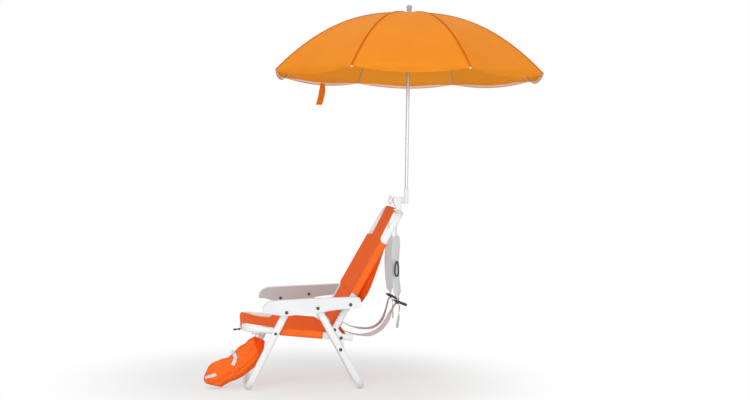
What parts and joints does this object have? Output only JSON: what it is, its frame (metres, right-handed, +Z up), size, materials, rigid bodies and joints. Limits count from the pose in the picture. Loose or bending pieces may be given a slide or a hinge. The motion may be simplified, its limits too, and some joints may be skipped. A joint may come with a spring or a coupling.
{
  "type": "kids canopy chair",
  "caption": "Child's folding beach chair with arms, cloth seat and back, shoulder straps, a hanging bag and a clamp-on umbrella over the seat.",
  "frame": {"origin": "on the floor, on the flat underside of the front leg frame's floor bar, midway between its legs", "axes": "+X to the back of the chair, +Y to the sitter's right, +Z up"},
  "size_m": [1.1732, 0.9404, 1.3369],
  "materials": {
    "white_paint": "gloss white paint",
    "dark_steel": "dark plated rivet heads",
    "white_plastic": "satin moulded",
    "red_orange_cloth": "plain woven polyester",
    "grey_webbing": "woven webbing and quilted pads",
    "black_plastic": "moulded buckles",
    "grey_metal": "grey coated steel tube and wire",
    "orange_cloth": "plain woven polyester with white piping"
  },
  "bodies": {
    "seat": {"seat_frame": "white_paint", "seat_rear_bar": "white_paint", "seat_sling": "red_orange_cloth", "front_tie": "black_plastic", "front_rivet_left": "dark_steel", "front_rivet_right": "dark_steel"},
    "bag": {"carry_bag": "red_orange_cloth", "bag_cord": "grey_webbing", "bag_webbing": "grey_webbing"},
    "front_legs": {"front_leg_frame": "white_paint"},
    "hinge_plates": {"hinge_plate_left": "white_paint", "hinge_plate_right": "white_paint"},
    "rear_legs": {"rear_leg_frame": "white_paint"},
    "back": {"back_frame": "white_paint", "back_lower_bar": "white_paint", "back_sling": "red_orange_cloth", "back_pouch": "red_orange_cloth", "strap_pad_left": "grey_webbing", "strap_pad_right": "grey_webbing", "strap_webbing_left": "grey_webbing", "strap_webbing_right": "grey_webbing", "strap_buckle_left": "black_plastic", "strap_buckle_right": "black_plastic", "strap_adjuster": "black_plastic", "clamp_body": "white_plastic", "clamp_jaw": "white_plastic"},
    "clamp_knob": {"clamp_knob": "white_plastic"},
    "arms": {"arm_left": "white_plastic", "arm_right": "white_plastic", "arm_front_rivet_left": "dark_steel", "arm_front_rivet_right": "dark_steel", "arm_middle_rivet_left": "dark_steel", "arm_middle_rivet_right": "dark_steel", "arm_rear_rivet_left": "dark_steel", "arm_rear_rivet_right": "dark_steel"},
    "pole_socket": {"pole_socket": "white_plastic"},
    "umbrella": {"pole": "grey_metal", "crown": "white_plastic", "finial": "white_plastic", "canopy": "orange_cloth", "canopy_tie": "orange_cloth"},
    "runner": {"runner": "white_plastic"},
    "rib_1": {"rib_1": "grey_metal"},
    "rib_2": {"rib_2": "grey_metal"},
    "rib_3": {"rib_3": "grey_metal"},
    "rib_4": {"rib_4": "grey_metal"},
    "rib_5": {"rib_5": "grey_metal"},
    "rib_6": {"rib_6": "grey_metal"},
    "rib_7": {"rib_7": "grey_metal"},
    "rib_8": {"rib_8": "grey_metal"},
    "strut_1": {"strut_1": "grey_metal"},
    "strut_2": {"strut_2": "grey_metal"},
    "strut_3": {"strut_3": "grey_metal"},
    "strut_4": {"strut_4": "grey_metal"},
    "strut_5": {"strut_5": "grey_metal"},
    "strut_6": {"strut_6": "grey_metal"},
    "strut_7": {"strut_7": "grey_metal"},
    "strut_8": {"strut_8": "grey_metal"}
  },
  "joints": [
    {"name": "plate_fold", "type": "hinge", "parent": "seat", "child": "hinge_plates", "pos_m": [0.314, 0, 0.1805], "axis": [0, -1, 0], "range_deg": [-77.2, 0]},
    {"name": "chair_fold", "type": "hinge", "parent": "hinge_plates", "child": "back", "pos_m": [0.2905, 0, 0.2085], "axis": [0, -1, 0], "range_deg": [0, 188.7]},
    {"name": "front_leg_fold", "type": "hinge", "parent": "seat", "child": "front_legs", "pos_m": [0.088, 0, 0.198], "axis": [0, -1, 0], "range_deg": [0, 91.9]},
    {"name": "rear_leg_fold", "type": "hinge", "parent": "hinge_plates", "child": "rear_legs", "pos_m": [0.3115, 0, 0.1425], "axis": [0, -1, 0], "range_deg": [0, 118.16]},
    {"name": "arm_fold", "type": "hinge", "parent": "back", "child": "arms", "pos_m": [0.342, 0, 0.299], "axis": [0, -1, 0], "range_deg": [-121.78, 0]},
    {"name": "bag_swing", "type": "hinge", "parent": "seat", "child": "bag", "pos_m": [0.01, -0.1765, 0.2], "axis": [0, 1, 0], "range_deg": [0, 20]},
    {"name": "umbrella_tilt", "type": "hinge", "parent": "back", "child": "pole_socket", "pos_m": [0.5343, -0.123, 0.655], "axis": [1, 0, 0], "range_deg": [-60, 60]},
    {"name": "clamp_knob_turn", "type": "hinge", "parent": "back", "child": "clamp_knob", "pos_m": [0.5077, -0.123, 0.655], "axis": [-1, 0, 0], "continuous": true},
    {"name": "pole_slide", "type": "slide", "parent": "pole_socket", "child": "umbrella", "axis": [0, 0, 1], "range_m": [0, 0.04]},
    {"name": "runner_slide", "type": "slide", "parent": "umbrella", "child": "runner", "axis": [0, 0, -1], "range_m": [0, 0.19927], "deforming": ["canopy", "canopy_tie"]},
    {"name": "rib_fold_1", "type": "hinge", "parent": "umbrella", "child": "rib_1", "pos_m": [0.55491, -0.11992, 1.30455], "axis": [-0.2504, 0.9681, 0], "range_deg": [0, 63.77]},
    {"name": "rib_fold_2", "type": "hinge", "parent": "umbrella", "child": "rib_2", "pos_m": [0.54924, -0.1124, 1.30455], "axis": [-0.8616, 0.5075, 0], "range_deg": [0, 63.77]},
    {"name": "rib_fold_3", "type": "hinge", "parent": "umbrella", "child": "rib_3", "pos_m": [0.53992, -0.11109, 1.30455], "axis": [-0.9681, -0.2504, 0], "range_deg": [0, 63.77]},
    {"name": "rib_fold_4", "type": "hinge", "parent": "umbrella", "child": "rib_4", "pos_m": [0.5324, -0.11676, 1.30455], "axis": [-0.5075, -0.8616, 0], "range_deg": [0, 63.77]},
    {"name": "rib_fold_5", "type": "hinge", "parent": "umbrella", "child": "rib_5", "pos_m": [0.53109, -0.12608, 1.30455], "axis": [0.2504, -0.9681, 0], "range_deg": [0, 63.77]},
    {"name": "rib_fold_6", "type": "hinge", "parent": "umbrella", "child": "rib_6", "pos_m": [0.53676, -0.1336, 1.30455], "axis": [0.8616, -0.5075, 0], "range_deg": [0, 63.77]},
    {"name": "rib_fold_7", "type": "hinge", "parent": "umbrella", "child": "rib_7", "pos_m": [0.54608, -0.13491, 1.30455], "axis": [0.9681, 0.2504, 0], "range_deg": [0, 63.77]},
    {"name": "rib_fold_8", "type": "hinge", "parent": "umbrella", "child": "rib_8", "pos_m": [0.5536, -0.12924, 1.30455], "axis": [0.5075, 0.8616, 0], "range_deg": [0, 63.77]},
    {"name": "strut_fold_1", "type": "hinge", "parent": "rib_1", "child": "strut_1", "pos_m": [0.70603, -0.08084, 1.28244], "axis": [0.2504, -0.9681, 0], "range_deg": [0, 102.56]},
    {"name": "strut_fold_2", "type": "hinge", "parent": "rib_2", "child": "strut_2", "pos_m": [0.62847, 0.02209, 1.28244], "axis": [0.8616, -0.5075, 0], "range_deg": [0, 102.56]},
    {"name": "strut_fold_3", "type": "hinge", "parent": "rib_3", "child": "strut_3", "pos_m": [0.50084, 0.04003, 1.28244], "axis": [0.9681, 0.2504, 0], "range_deg": [0, 102.56]},
    {"name": "strut_fold_4", "type": "hinge", "parent": "rib_4", "child": "strut_4", "pos_m": [0.39791, -0.03753, 1.28244], "axis": [0.5075, 0.8616, 0], "range_deg": [0, 102.56]},
    {"name": "strut_fold_5", "type": "hinge", "parent": "rib_5", "child": "strut_5", "pos_m": [0.37997, -0.16516, 1.28244], "axis": [-0.2504, 0.9681, 0], "range_deg": [0, 102.56]},
    {"name": "strut_fold_6", "type": "hinge", "parent": "rib_6", "child": "strut_6", "pos_m": [0.45753, -0.26809, 1.28244], "axis": [-0.8616, 0.5075, 0], "range_deg": [0, 102.56]},
    {"name": "strut_fold_7", "type": "hinge", "parent": "rib_7", "child": "strut_7", "pos_m": [0.58516, -0.28603, 1.28244], "axis": [-0.9681, -0.2504, 0], "range_deg": [0, 102.56]},
    {"name": "strut_fold_8", "type": "hinge", "parent": "rib_8", "child": "strut_8", "pos_m": [0.68809, -0.20847, 1.28244], "axis": [-0.5075, -0.8616, 0], "range_deg": [0, 102.56]}
  ],
  "couplings": [
    {"joint": "plate_fold", "follows": "chair_fold", "ratio": -0.40646},
    {"joint": "front_leg_fold", "follows": "chair_fold", "ratio": 0.48437},
    {"joint": "rear_leg_fold", "follows": "chair_fold", "ratio": 0.62353},
    {"joint": "arm_fold", "follows": "chair_fold", "ratio": -0.64271},
    {"joint": "rib_fold_1", "follows": "runner_slide", "rad_per_m": 5.5417},
    {"joint": "rib_fold_2", "follows": "runner_slide", "rad_per_m": 5.5417},
    {"joint": "rib_fold_3", "follows": "runner_slide", "rad_per_m": 5.5417},
    {"joint": "rib_fold_4", "follows": "runner_slide", "rad_per_m": 5.5417},
    {"joint": "rib_fold_5", "follows": "runner_slide", "rad_per_m": 5.5417},
    {"joint": "rib_fold_6", "follows": "runner_slide", "rad_per_m": 5.5417},
    {"joint": "rib_fold_7", "follows": "runner_slide", "rad_per_m": 5.5417},
    {"joint": "rib_fold_8", "follows": "runner_slide", "rad_per_m": 5.5417},
    {"joint": "strut_fold_1", "follows": "runner_slide", "rad_per_m": 8.9304},
    {"joint": "strut_fold_2", "follows": "runner_slide", "rad_per_m": 8.9304},
    {"joint": "strut_fold_3", "follows": "runner_slide", "rad_per_m": 8.9304},
    {"joint": "strut_fold_4", "follows": "runner_slide", "rad_per_m": 8.9304},
    {"joint": "strut_fold_5", "follows": "runner_slide", "rad_per_m": 8.9304},
    {"joint": "strut_fold_6", "follows": "runner_slide", "rad_per_m": 8.9304},
    {"joint": "strut_fold_7", "follows": "runner_slide", "rad_per_m": 8.9304},
    {"joint": "strut_fold_8", "follows": "runner_slide", "rad_per_m": 8.9304}
  ]
}
